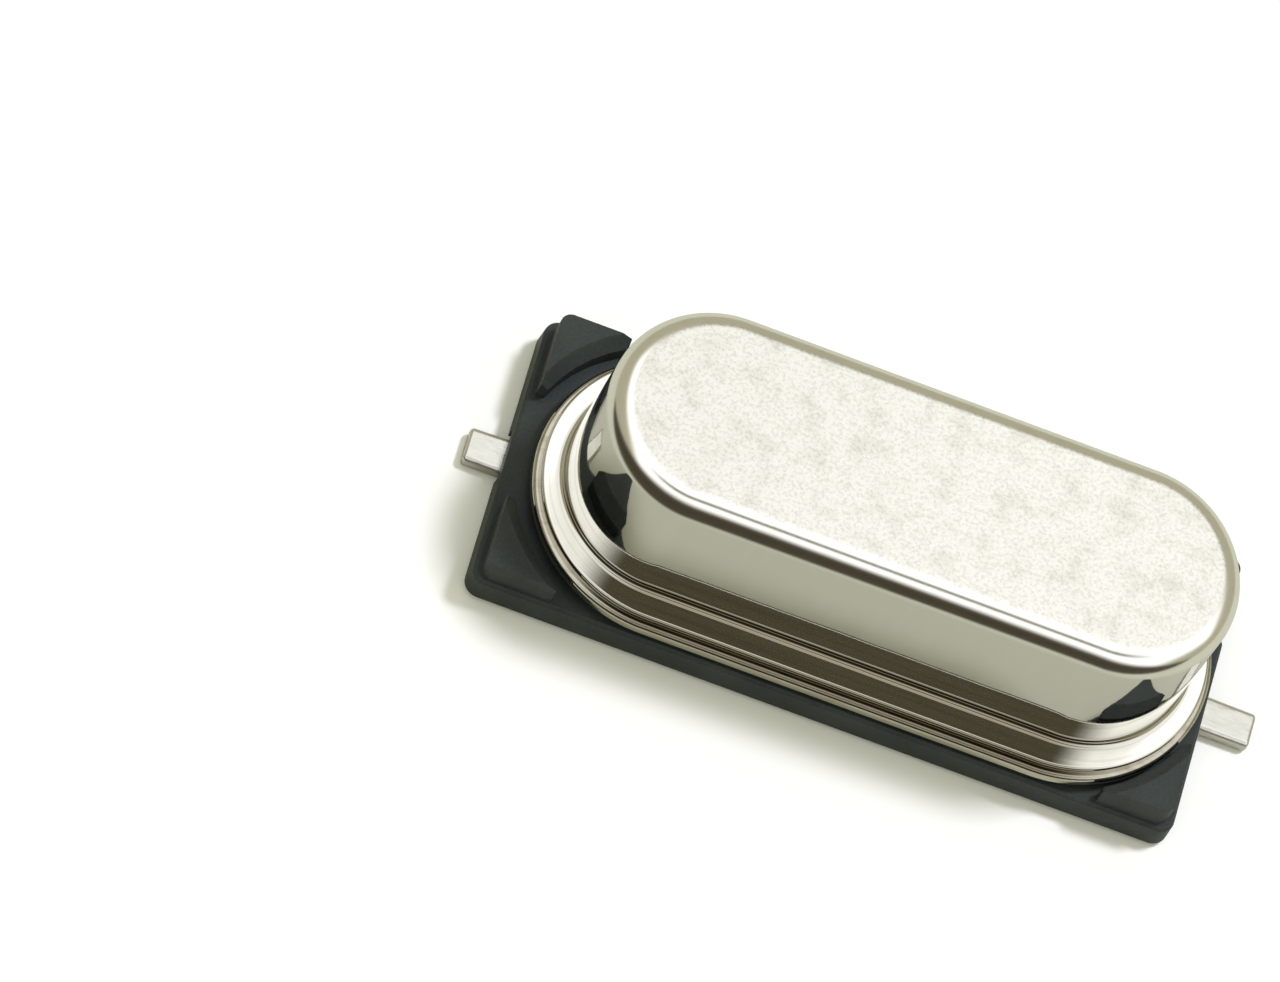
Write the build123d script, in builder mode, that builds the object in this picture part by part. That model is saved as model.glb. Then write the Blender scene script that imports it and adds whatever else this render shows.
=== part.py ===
from build123d import *
import os

# A quartz crystal in a sealed metal can, on a moulded insulator plate with two solder feet.
# X runs along the can, Y across it and Z up, in millimetres. The origin is the middle of the
# footprint, on the surface that the solder feet stand on.

os.makedirs("parts", exist_ok=True)

# Drawn cover
can_length = 10.2
can_width = 3.55
cover_height = 3.09  # from the weld face to the top
cover_wall = 0.18
cover_top_thickness = 0.2
cover_top_radius = 0.38
cover_inner_chamfer = 0.22
cover_foot_radius = 0.1
cover_rim_end = 0.33  # flange beyond the can wall, at the round ends
cover_rim_side = 0.475  # and along the straight sides
cover_flange_thickness = 0.17
cover_flange_round = 0.05

# Stamped base
base_thickness = 0.26
base_rim = 0.1  # base flange beyond the cover's flange
base_flange_round = 0.08
base_flange_chamfer = 0.08  # under the flange
pan_depth = 0.12  # the pan stands this far below the flange
pan_clearance = 0.15  # between the pan's edge and the inside of the cover
pan_chamfer = 0.08
eyelet_wall = 0.2
eyelet_height = 0.6  # above the pan's floor

# Glass seals
seal_diameter = 1.25
seal_meniscus = 0.07  # the glass creeps this far up the wire

# Leads
lead_pitch = 4.88
wire_diameter = 0.43
lead_bend_radius = 0.35  # to the wire's centre line
lead_span = 13.0  # over both tips
lead_head = 0.25  # wire above the seal
foot_width = 0.62
foot_thickness = 0.3
foot_edge_radius = 0.1
foot_tip_chamfer = 0.06
foot_run_in = 0.2  # length over which the round wire becomes flat

# Insulator plate
plate_floor_thickness = 0.5
plate_stand = 0.1  # the solder feet stand this far below the plate
plate_margin_end = 0.25  # plate beyond the base flange
plate_margin_side = 0.03
plate_shift = 0.13  # play that the can takes up towards one end
plate_corner_radius = 0.26
plate_draft = 2.0  # degrees
plate_edge_chamfer = 0.05
post_height = 0.5
post_inset_end = 0.15
post_inset_side = 0.1
post_run_end = 1.3  # length of a post along the plate's end
post_run_side = 1.15  # and along the plate's side
post_corner_radius = 0.18
post_clearance = 0.16  # between a post and the base flange
post_lead_in = 0.2  # height and width of the slope at the post's top
lead_hole_diameter = 0.9
pocket_width = 1.2
pocket_inner = 0.5  # pocket from the hole's centre towards the middle of the plate
pocket_outer = 0.78  # and towards its end
pocket_depth = 0.38
groove_width = 0.86
groove_depth = 0.25
recess_diameter = 1.9  # round mark of the mould insert, under the plate
recess_depth = 0.05
gate_radius = 0.22  # notch left by the moulding gate in one end
gate_offset = 1.25  # from the centre line
gate_depth = 0.1

# Quartz blank and what holds it
blank_length = 8.0
blank_width = 1.9
blank_thickness = 0.14
film_thickness = 0.02
film_length = 3.2
film_width = 1.4
tab_width = 0.9
clip_thickness = 0.08
clip_width = 1.2
clip_seat = 0.35  # clip beyond the wire's centre, towards the middle
clip_rise = 0.42  # from the top of the wire to the blank's shelf
clip_ramp = 0.55  # length of the sloping arm
clip_bend_radius = 0.1
clip_lip = 0.34  # end stop, above the shelf
blank_end_gap = 0.08  # between the blank and the end stop
bead_radius = 0.24

# Worked-out sizes and levels
wire_radius = wire_diameter / 2
lead_x = lead_pitch / 2
seal_radius = seal_diameter / 2
cover_flange_length = can_length + 2 * cover_rim_end
cover_flange_width = can_width + 2 * cover_rim_side
inner_length = can_length - 2 * cover_wall
inner_width = can_width - 2 * cover_wall
base_length = cover_flange_length + 2 * base_rim
base_width = cover_flange_width + 2 * base_rim
pan_length = inner_length - 2 * pan_clearance
pan_width = inner_width - 2 * pan_clearance
plate_length = base_length + 2 * plate_margin_end
plate_width = base_width + 2 * plate_margin_side

plate_bottom = plate_stand
plate_floor = plate_bottom + plate_floor_thickness
post_top = plate_floor + post_height
flange_bottom = plate_floor + pan_depth
pan_top = plate_floor + base_thickness
weld_face = flange_bottom + base_thickness
seal_top = pan_top + eyelet_height
wire_top = seal_top + lead_head
shelf_top = wire_top + clip_rise
blank_bottom = shelf_top + film_thickness
blank_top = blank_bottom + blank_thickness
blank_end = blank_length / 2
lip_inside = blank_end + blank_end_gap

# Cover: drawn can with a closed top and a weld flange round its mouth
with BuildPart() as cover:
    with BuildSketch(Plane.XY.offset(weld_face)):
        SlotOverall(can_length, can_width)
    extrude(amount=cover_height)
    fillet(cover.faces().sort_by(Axis.Z)[-1].edges(), cover_top_radius)
    with BuildSketch(Plane.XY.offset(weld_face)):
        SlotOverall(cover_flange_length, cover_flange_width)
    extrude(amount=cover_flange_thickness)
    flange_ledge = cover.faces().filter_by(Plane.XY).sort_by(Axis.Z)[1]
    fillet(flange_ledge.inner_wires()[0].edges(), cover_foot_radius)
    flange_ledge = cover.faces().filter_by(Plane.XY).sort_by(Axis.Z)[1]
    fillet(flange_ledge.outer_wire().edges(), cover_flange_round)
    with BuildSketch(Plane.XY.offset(weld_face)):
        SlotOverall(inner_length, inner_width)
    extrude(amount=cover_height - cover_top_thickness, mode=Mode.SUBTRACT)
    ceiling = cover.faces().filter_by(Plane.XY).sort_by(Axis.Z)[-2]
    chamfer(ceiling.edges(), cover_inner_chamfer)

cover.part.label = "cover"
export_step(cover.part, "parts/cover.step")

# Base: stamped plate with a rounded flange, a pan that stands below it and two eyelets
with BuildPart() as base_header:
    with BuildSketch(Plane.XY.offset(flange_bottom)):
        SlotOverall(base_length, base_width)
    extrude(amount=base_thickness)
    flange_faces = base_header.faces().filter_by(Plane.XY).sort_by(Axis.Z)
    fillet(flange_faces[-1].edges(), base_flange_round)
    chamfer(flange_faces[0].edges(), base_flange_chamfer)
    with BuildSketch(Plane.XY.offset(plate_floor)):
        SlotOverall(pan_length, pan_width)
    extrude(amount=pan_depth)
    chamfer(base_header.faces().sort_by(Axis.Z)[0].edges(), pan_chamfer)
    with BuildSketch(Plane.XY.offset(pan_top)):
        SlotOverall(pan_length - 2 * base_thickness, pan_width - 2 * base_thickness)
    extrude(amount=pan_depth, mode=Mode.SUBTRACT)
    with BuildSketch(Plane.XY.offset(pan_top)):
        with Locations((-lead_x, 0), (lead_x, 0)):
            Circle(seal_radius + eyelet_wall)
    extrude(amount=eyelet_height)
    with BuildSketch(Plane.XY.offset(plate_floor)):
        with Locations((-lead_x, 0), (lead_x, 0)):
            Circle(seal_radius)
    extrude(amount=base_thickness + eyelet_height, mode=Mode.SUBTRACT)

base_header.part.label = "base_header"
export_step(base_header.part, "parts/base_header.step")

# Insulator plate: moulded floor with a post at each corner, a hole and a groove for each lead
with BuildPart() as insulator_plate:
    with BuildSketch(Plane.XY.offset(plate_bottom)):
        with Locations((-plate_shift, 0)):
            RectangleRounded(plate_length, plate_width, plate_corner_radius)
    extrude(amount=plate_floor_thickness, taper=plate_draft)
    chamfer(insulator_plate.faces().sort_by(Axis.Z)[-1].edges(), plate_edge_chamfer)

    post_field_length = plate_length - 2 * post_inset_end
    post_field_width = plate_width - 2 * post_inset_side
    with BuildSketch(Plane.XY.offset(plate_floor)):
        with Locations((-plate_shift, 0)):
            RectangleRounded(post_field_length, post_field_width, post_corner_radius)
            Rectangle(post_field_length - 2 * post_run_side, post_field_width, mode=Mode.SUBTRACT)
            Rectangle(post_field_length, post_field_width - 2 * post_run_end, mode=Mode.SUBTRACT)
            SlotOverall(base_length + 2 * post_clearance, base_width + 2 * post_clearance, mode=Mode.SUBTRACT)
    extrude(amount=post_height)
    lead_in_growth = 2 * (post_clearance + post_lead_in)
    with BuildSketch(Plane.XY.offset(post_top)):
        with Locations((-plate_shift, 0)):
            SlotOverall(base_length + lead_in_growth, base_width + lead_in_growth)
    extrude(amount=-post_lead_in, taper=45, mode=Mode.SUBTRACT)

    with BuildSketch(Plane.XY.offset(plate_bottom)):
        with Locations((-plate_shift, 0)):
            Circle(recess_diameter / 2)
    extrude(amount=recess_depth, mode=Mode.SUBTRACT)
    with BuildSketch(Plane.XY.offset(plate_bottom)):
        with Locations((plate_length / 2 - plate_shift + gate_radius - gate_depth, gate_offset)):
            Circle(gate_radius)
    extrude(amount=plate_floor_thickness, mode=Mode.SUBTRACT)

    for direction in (-1, 1):
        hole_x = direction * lead_x - plate_shift
        plate_end = direction * plate_length / 2 - plate_shift
        with BuildSketch(Plane.XY.offset(plate_bottom)):
            with Locations((hole_x, 0)):
                Circle(lead_hole_diameter / 2)
        extrude(amount=plate_floor_thickness, mode=Mode.SUBTRACT)
        with BuildSketch(Plane.XY.offset(plate_bottom)):
            with Locations((hole_x + direction * (pocket_outer - pocket_inner) / 2, 0)):
                Rectangle(pocket_inner + pocket_outer, pocket_width)
        extrude(amount=pocket_depth, mode=Mode.SUBTRACT)
        with BuildSketch(Plane.XY.offset(plate_bottom)):
            with Locations(((hole_x + plate_end) / 2, 0)):
                Rectangle(abs(plate_end - hole_x), groove_width)
        extrude(amount=groove_depth, mode=Mode.SUBTRACT)

insulator_plate.part.label = "insulator_plate"
export_step(insulator_plate.part, "parts/insulator_plate.step")

# Quartz blank: thin strip that lies lengthways on the two clips
with BuildPart() as quartz_blank:
    with BuildSketch(Plane.XY.offset(blank_bottom)):
        Rectangle(blank_length, blank_width)
    extrude(amount=blank_thickness)

quartz_blank.part.label = "quartz_blank"
export_step(quartz_blank.part, "parts/quartz_blank.step")

# Electrodes: a silver pad on each face of the blank, with a tab to one end
for name, film_bottom, direction in (("top", blank_top, -1), ("bottom", shelf_top, 1)):
    with BuildPart() as electrode:
        with BuildSketch(Plane.XY.offset(film_bottom)):
            Rectangle(film_length, film_width)
            with Locations((direction * blank_end / 2, 0)):
                Rectangle(blank_end, tab_width)
        extrude(amount=film_thickness)

    electrode.part.label = f"electrode_{name}"
    export_step(electrode.part, f"parts/electrode_{name}.step")

# One of each at the left and right end: lead, glass seal, mounting clip and cement bead
for side, direction in (("left", -1), ("right", 1)):
    # Lead: round wire, bent outwards under the plate and pressed flat into a solder foot
    bend_start = Vector(direction * lead_x, 0, wire_radius + lead_bend_radius)
    bend_end = Vector(direction * (lead_x + lead_bend_radius), 0, wire_radius)
    flat_start = lead_x + lead_bend_radius + foot_run_in
    wire_end_plane = Plane(origin=bend_end, x_dir=(0, 1, 0), z_dir=(direction, 0, 0))
    foot_plane = Plane(
        origin=(direction * flat_start, 0, foot_thickness / 2), x_dir=(0, 1, 0), z_dir=(direction, 0, 0)
    )
    with BuildPart() as lead:
        with BuildLine():
            wire_run = Line((direction * lead_x, 0, wire_top), bend_start)
            TangentArc(bend_start, bend_end, tangent=wire_run % 1)
        with BuildSketch(Plane(origin=wire_run @ 0, z_dir=wire_run % 0)):
            Circle(wire_radius)
        sweep()
        with BuildSketch(wire_end_plane):
            Circle(wire_radius)
        with BuildSketch(foot_plane):
            RectangleRounded(foot_width, foot_thickness, foot_edge_radius)
        loft()
        with BuildSketch(foot_plane):
            RectangleRounded(foot_width, foot_thickness, foot_edge_radius)
        extrude(amount=lead_span / 2 - flat_start)
        foot_tip = lead.faces().sort_by_distance((0, 0, 0))[-1]
        chamfer(foot_tip.edges(), foot_tip_chamfer)

    lead.part.label = f"lead_{side}"
    export_step(lead.part, f"parts/lead_{side}.step")

    # Glass seal: bead in the eyelet, which creeps up the wire inside the can
    with BuildPart() as glass_seal:
        with BuildSketch(Plane.XZ):
            with BuildLine():
                Polyline(
                    (wire_radius, plate_floor),
                    (wire_radius, seal_top + seal_meniscus),
                    (seal_radius, seal_top),
                    (seal_radius, plate_floor),
                    close=True,
                )
            make_face()
        revolve(axis=Axis.Z)

    seal_part = glass_seal.part.moved(Location((direction * lead_x, 0, 0)))
    seal_part.label = f"glass_seal_{side}"
    export_step(seal_part, f"parts/glass_seal_{side}.step")

    # Mounting clip: bent strip, welded on the end of the wire, with a shelf and a stop for the blank
    seat_level = wire_top + clip_thickness / 2
    shelf_level = shelf_top - clip_thickness / 2
    stop_x = lip_inside + clip_thickness / 2
    clip_points = [
        (lead_x - clip_seat, seat_level),
        (lead_x + clip_seat, seat_level),
        (lead_x + clip_seat + clip_ramp, shelf_level),
        (stop_x, shelf_level),
        (stop_x, shelf_top + clip_lip),
    ]
    with BuildPart() as mounting_clip:
        with BuildSketch(Plane.XZ):
            with BuildLine():
                FilletPolyline(*[(direction * x, z) for x, z in clip_points], radius=clip_bend_radius)
            trace(line_width=clip_thickness)
        extrude(amount=clip_width / 2, both=True)

    mounting_clip.part.label = f"mounting_clip_{side}"
    export_step(mounting_clip.part, f"parts/mounting_clip_{side}.step")

    # Cement bead: fills the corner between the end stop and the blank, or its silver tab
    bead_seat = blank_top + film_thickness if side == "left" else blank_top
    corner = (direction * lip_inside, bead_seat)
    along = (direction * (lip_inside - bead_radius), bead_seat)
    up = (direction * lip_inside, bead_seat + bead_radius * 0.6)
    with BuildPart() as adhesive:
        with BuildSketch(Plane.XZ):
            with BuildLine():
                Line(corner, along)
                RadiusArc(along, up, direction * bead_radius)
                Line(up, corner)
            make_face()
        extrude(amount=tab_width / 2, both=True)

    adhesive.part.label = f"adhesive_{side}"
    export_step(adhesive.part, f"parts/adhesive_{side}.step")
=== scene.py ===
"""Looks of a quartz crystal in a surface-mount metal can: finishes, fine detail, light and camera.

Lengths are millimetres, as on a drawing, and angles are degrees, except where a docstring says
otherwise. MM turns millimetres into Blender's metres.
"""

import itertools
import logging
import math
from abc import ABC, abstractmethod
from collections.abc import Callable, Iterable
from dataclasses import dataclass
from enum import Enum
from typing import Any, ClassVar, Optional, Union

import bmesh
import bpy
from mathutils import Matrix, Quaternion, Vector


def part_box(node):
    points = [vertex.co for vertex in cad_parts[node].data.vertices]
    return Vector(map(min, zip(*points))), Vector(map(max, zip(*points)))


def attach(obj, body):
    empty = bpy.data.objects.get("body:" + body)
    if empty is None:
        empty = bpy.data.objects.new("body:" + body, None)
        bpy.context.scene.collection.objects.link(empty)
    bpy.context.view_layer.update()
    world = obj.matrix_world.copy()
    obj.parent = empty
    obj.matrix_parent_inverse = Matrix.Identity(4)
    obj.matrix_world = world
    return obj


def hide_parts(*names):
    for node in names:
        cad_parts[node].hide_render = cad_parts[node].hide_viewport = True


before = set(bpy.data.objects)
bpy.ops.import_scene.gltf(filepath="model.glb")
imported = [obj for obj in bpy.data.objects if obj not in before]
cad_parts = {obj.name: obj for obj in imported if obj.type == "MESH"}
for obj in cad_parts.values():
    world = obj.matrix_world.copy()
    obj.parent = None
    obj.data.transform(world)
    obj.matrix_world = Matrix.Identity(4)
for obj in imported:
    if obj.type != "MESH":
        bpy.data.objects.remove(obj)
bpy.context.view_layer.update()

MM = 0.001
NEAR = 0.001
LEAD_X = 2.44
NOISE_MIDDLE = 0.5
BODY = "root"
log = logging.getLogger("crystal")

Span = tuple[float, float]
Point = tuple[float, float, float]
Colour = tuple[float, float, float, float]
Operand = Union["Wire", float, Point, Colour]

WHITE: Colour = (1.0, 1.0, 1.0, 1.0)


class Axis(Enum):
    """Coordinate of a place or direction."""

    X = "X"
    Y = "Y"
    Z = "Z"


class Boolean(Enum):
    """What a cylinder does to a form."""

    ADD = "UNION"
    CUT = "DIFFERENCE"


class Ray(Enum):
    """Kind of ray that meets a surface, as the Light Path node names it."""

    CAMERA = "Is Camera Ray"
    GLOSSY = "Is Glossy Ray"
    TRANSMISSION = "Is Transmission Ray"


class End(Enum):
    """End of the part that a piece belongs to."""

    LEFT = "left"
    RIGHT = "right"

    @property
    def sign(self) -> int:
        """Sign of X at this end."""
        return -1 if self is End.LEFT else 1


def direction(azimuth: float, elevation: float = 0.0) -> Vector:
    """Direction from the part towards something around it.

    Args:
        azimuth: angle round the part, 0 in front of it and 90 at its right end.
        elevation: angle above the floor.

    Returns:
        The direction, with a length of 1.
    """
    turn = math.radians(azimuth)
    rise = math.radians(elevation)
    level = math.cos(rise)
    return Vector((math.sin(turn) * level, -math.cos(turn) * level, math.sin(rise)))


@dataclass(frozen=True)
class Section:
    """Outline with four quarter rounds that stand apart: circle, obround or rounded rectangle."""

    radius: float
    spread_x: float = 0.0
    spread_y: float = 0.0

    @classmethod
    def obround(cls, length: float, width: float) -> "Section":
        """Obround of a length and a width."""
        return cls(width / 2, (length - width) / 2)

    @classmethod
    def rounded(cls, size_x: float, size_y: float, radius: float) -> "Section":
        """Rectangle with round corners."""
        return cls(radius, size_x / 2 - radius, size_y / 2 - radius)

    def grown(self, amount: float) -> "Section":
        """The outline moved outwards all round, or inwards if the amount is negative."""
        return Section(self.radius + amount, self.spread_x, self.spread_y)

    def passes(self, vertex: bmesh.types.BMVert) -> bool:
        """Tells whether a vertex, seen from above, lies on the outline.

        Args:
            vertex: the vertex.

        Returns:
            True if it does.
        """
        beyond_x = max(abs(vertex.co.x) / MM - self.spread_x, 0.0)
        beyond_y = max(abs(vertex.co.y) / MM - self.spread_y, 0.0)
        return abs(math.hypot(beyond_x, beyond_y) - self.radius) < NEAR


class Wire:
    """Output of a shader node. Python's operators on it add Math nodes."""

    def __init__(self, graph: "Graph", socket: bpy.types.NodeSocket) -> None:
        """Keeps the socket with the graph that it belongs to.

        Args:
            graph: graph that further nodes are added to.
            socket: the node's output.
        """
        self.graph = graph
        self.socket = socket

    def _math(self, operation: str, first: Operand, second: Operand) -> "Wire":
        """Adds one Math node.

        Args:
            operation: Blender's name of the operation.
            first: first operand.
            second: second operand.

        Returns:
            The node's result.
        """
        return self.graph.add("ShaderNodeMath", {"operation": operation}, {0: first, 1: second})

    def __add__(self, other: Operand) -> "Wire":
        """Self plus other."""
        return self._math("ADD", self, other)

    def __radd__(self, other: Operand) -> "Wire":
        """Other plus self."""
        return self._math("ADD", other, self)

    def __sub__(self, other: Operand) -> "Wire":
        """Self minus other."""
        return self._math("SUBTRACT", self, other)

    def __rsub__(self, other: Operand) -> "Wire":
        """Other minus self."""
        return self._math("SUBTRACT", other, self)

    def __mul__(self, other: Operand) -> "Wire":
        """Self times other."""
        return self._math("MULTIPLY", self, other)

    def __rmul__(self, other: Operand) -> "Wire":
        """Other times self."""
        return self._math("MULTIPLY", other, self)

    def __pow__(self, other: Operand) -> "Wire":
        """Self to the power of other."""
        return self._math("POWER", self, other)

    def __abs__(self) -> "Wire":
        """Self without its sign."""
        return self.graph.add("ShaderNodeMath", {"operation": "ABSOLUTE"}, {0: self})

    def at_least(self, limit: float) -> "Wire":
        """Self, or the limit where that is more."""
        return self._math("MAXIMUM", self, limit)

    def swing(self, amount: float) -> "Wire":
        """Height of a noise, turned into a change to either side of 0."""
        return (self - NOISE_MIDDLE) * amount


@dataclass(frozen=True)
class Pattern:
    """Soft noise in a finish, and what it does to the colour, the roughness and the relief.

    Attributes:
        scale: bumps for each millimetre.
        detail: octaves of finer noise.
        rough: strength of the finer octaves.
        stretch: bumps for each millimetre along each axis, where they differ.
        shows: heights of the noise between which its colour comes in.
        roughens: range of the roughness that it brings.
        depth: full depth of its relief.
    """

    scale: float = 1.0
    detail: float = 4.0
    rough: float = 0.6
    stretch: Optional[Point] = None
    shows: Span = (0.35, 0.68)
    roughens: float = 0.15
    depth: float = 0.001


class Graph:
    """Node tree of one material or of the world, emptied and built up by name."""

    def __init__(self, tree: bpy.types.NodeTree) -> None:
        """Empties the tree.

        Args:
            tree: node tree of the material or world.
        """
        self.tree = tree
        tree.nodes.clear()

    def add(
        self,
        kind: str,
        settings: Optional[dict[str, Any]] = None,
        inputs: Optional[dict[Union[str, int], Operand]] = None,
        output: Union[str, int] = 0,
    ) -> Wire:
        """Adds one node, sets it up, and then gives its sockets their values or links.

        Args:
            kind: Blender's type name of the node.
            settings: the node's own settings, such as a Math node's operation.
            inputs: value or wire for each socket, by name or number.
            output: the output that is wanted, by name or number.

        Returns:
            The wanted output, or the first input of a node that has no output.
        """
        node = self.tree.nodes.new(kind)
        for name, value in (settings or {}).items():
            setattr(node, name, value)
        for name, value in (inputs or {}).items():
            if isinstance(value, Wire):
                self.tree.links.new(value.socket, node.inputs[name])
            else:
                node.inputs[name].default_value = value
        return Wire(self, node.outputs[output] if node.outputs else node.inputs[0])

    def place(self) -> Wire:
        """Place on the part, in millimetres."""
        metres = self.add("ShaderNodeTexCoord", output="Object")
        return self.add("ShaderNodeVectorMath", {"operation": "SCALE"}, {0: metres, "Scale": 1 / MM})

    def along(self, vector: Wire, axis: Axis) -> Wire:
        """One coordinate of a vector."""
        return self.add("ShaderNodeSeparateXYZ", inputs={0: vector}, output=axis.value)

    def reach(self, vector: Wire, way: Vector) -> Wire:
        """How far a vector reaches in a direction."""
        dot = {"operation": "DOT_PRODUCT"}
        return self.add("ShaderNodeVectorMath", dot, {0: vector, 1: tuple(way)}, "Value")

    def angle(self, opposite: Wire, adjacent: Wire) -> Wire:
        """Angle from the two short sides of a right triangle."""
        radians = self.add("ShaderNodeMath", {"operation": "ARCTAN2"}, {0: opposite, 1: adjacent})
        return radians * math.degrees(1)

    def endward(self, place: Wire) -> Wire:
        """Distance from the middle towards either end of the part."""
        return abs(self.along(place, Axis.X))

    def outward(self, place: Wire, spread: float) -> Wire:
        """Distance from an obround's centre line.

        Args:
            place: place on the part.
            spread: half the length of the centre line.

        Returns:
            The distance, which is the same all along an outline of the can.
        """
        beyond = (self.endward(place) - spread).at_least(0.0)
        across = self.along(place, Axis.Y)
        return (beyond * beyond + across * across) ** 0.5

    def ray(self, kind: Ray) -> Wire:
        """Whether the ray that meets the surface is of a kind."""
        return self.add("ShaderNodeLightPath", output=kind.value)

    def noise(self, place: Wire, pattern: Pattern) -> Wire:
        """Adds the noise of a pattern.

        Args:
            place: place that the noise is read at.
            pattern: how fine and rough the noise is.

        Returns:
            The noise's height, from 0 to 1 and mostly near the middle.
        """
        if pattern.stretch is not None:
            multiply = {"operation": "MULTIPLY"}
            place = self.add("ShaderNodeVectorMath", multiply, {0: place, 1: pattern.stretch})
        inputs = {
            "Vector": place,
            "Scale": pattern.scale,
            "Detail": pattern.detail,
            "Roughness": pattern.rough,
        }
        return self.add("ShaderNodeTexNoise", {"noise_dimensions": "3D"}, inputs)

    def step(
        self, value: Wire, begin: float, end: float, before: float = 0.0, after: float = 1.0
    ) -> Wire:
        """Steps smoothly from one result to another.

        Args:
            value: wire that is stepped.
            begin: value at which the step begins.
            end: value at which it ends, more or less than begin.
            before: result on the side of begin.
            after: result on the side of end.

        Returns:
            The stepped value.
        """
        inputs = {0: value, 1: begin, 2: end, 3: before, 4: after}
        return self.add("ShaderNodeMapRange", {"interpolation_type": "SMOOTHSTEP"}, inputs)

    def step_from(self, value: Wire, level: float, span: Span) -> Wire:
        """Steps smoothly from 0 to 1 over a span that is measured from a level."""
        return self.step(value, level + span[0], level + span[1])

    def blend(self, factor: Operand, first: Operand, second: Operand) -> Wire:
        """Colour between first, where the factor is 0, and second, where it is 1."""
        # A Mix node's colours are its inputs 6 and 7 and its output 2.
        colours = {0: factor, 6: first, 7: second}
        return self.add("ShaderNodeMix", {"data_type": "RGBA"}, colours, 2)

    def bump(self, height: Wire, depth: float, below: Optional[Wire] = None) -> Wire:
        """Adds fine relief.

        Args:
            height: relief from 0 to 1.
            depth: its full depth.
            below: normal of a coarser relief under it.

        Returns:
            The normal of the surface.
        """
        inputs = {"Strength": 1.0, "Distance": depth * MM, "Height": height}
        if below is not None:
            inputs["Normal"] = below
        return self.add("ShaderNodeBump", inputs=inputs)

    def finish(self, shader: Wire, output: str = "ShaderNodeOutputMaterial") -> None:
        """Links the last shader to the tree's output."""
        self.add(output, inputs={"Surface": shader})


def new_material(name: str) -> tuple[bpy.types.Material, Graph]:
    """Makes an empty node material.

    Args:
        name: name of the material.

    Returns:
        The material and its graph.
    """
    material = bpy.data.materials.new(name)
    material.use_nodes = True
    return material, Graph(material.node_tree)


class Finish(ABC):
    """Look of a surface, given as the inputs of one Principled shader."""

    name: str

    @abstractmethod
    def inputs(self, graph: Graph) -> dict[str, Operand]:
        """Adds the nodes of the finish.

        Args:
            graph: graph of the material.

        Returns:
            Value or wire for each input of the shader.
        """

    def material(self) -> bpy.types.Material:
        """Builds the material.

        Returns:
            The material.
        """
        material, graph = new_material(self.name)
        graph.finish(graph.add("ShaderNodeBsdfPrincipled", inputs=self.inputs(graph)))
        return material


@dataclass(frozen=True)
class WeldShade:
    """Painted shade beside the weld, full along the straight sides and faint round the ends."""

    fades: Span = (3.2, 4.6)
    at_ends: float = 0.35

    def strength(self, graph: Graph, place: Wire) -> Wire:
        """Strength of the darkening at a place."""
        return graph.step(graph.endward(place), *self.fades, 1.0, self.at_ends)


@dataclass(frozen=True)
class CanZones:
    """Masks of the can's zones, each 1 inside its zone and 0 outside.

    Attributes:
        flat: the flat top.
        side: all that lies below the rounding of the top.
        wall: the drawn wall, down to its foot.
        flange: the flange, and the foot of the wall.
        welded: the foot and the flange's rim, where shade is painted beside the weld.
    """

    flat: Wire
    side: Wire
    wall: Wire
    flange: Wire
    welded: Wire


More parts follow.
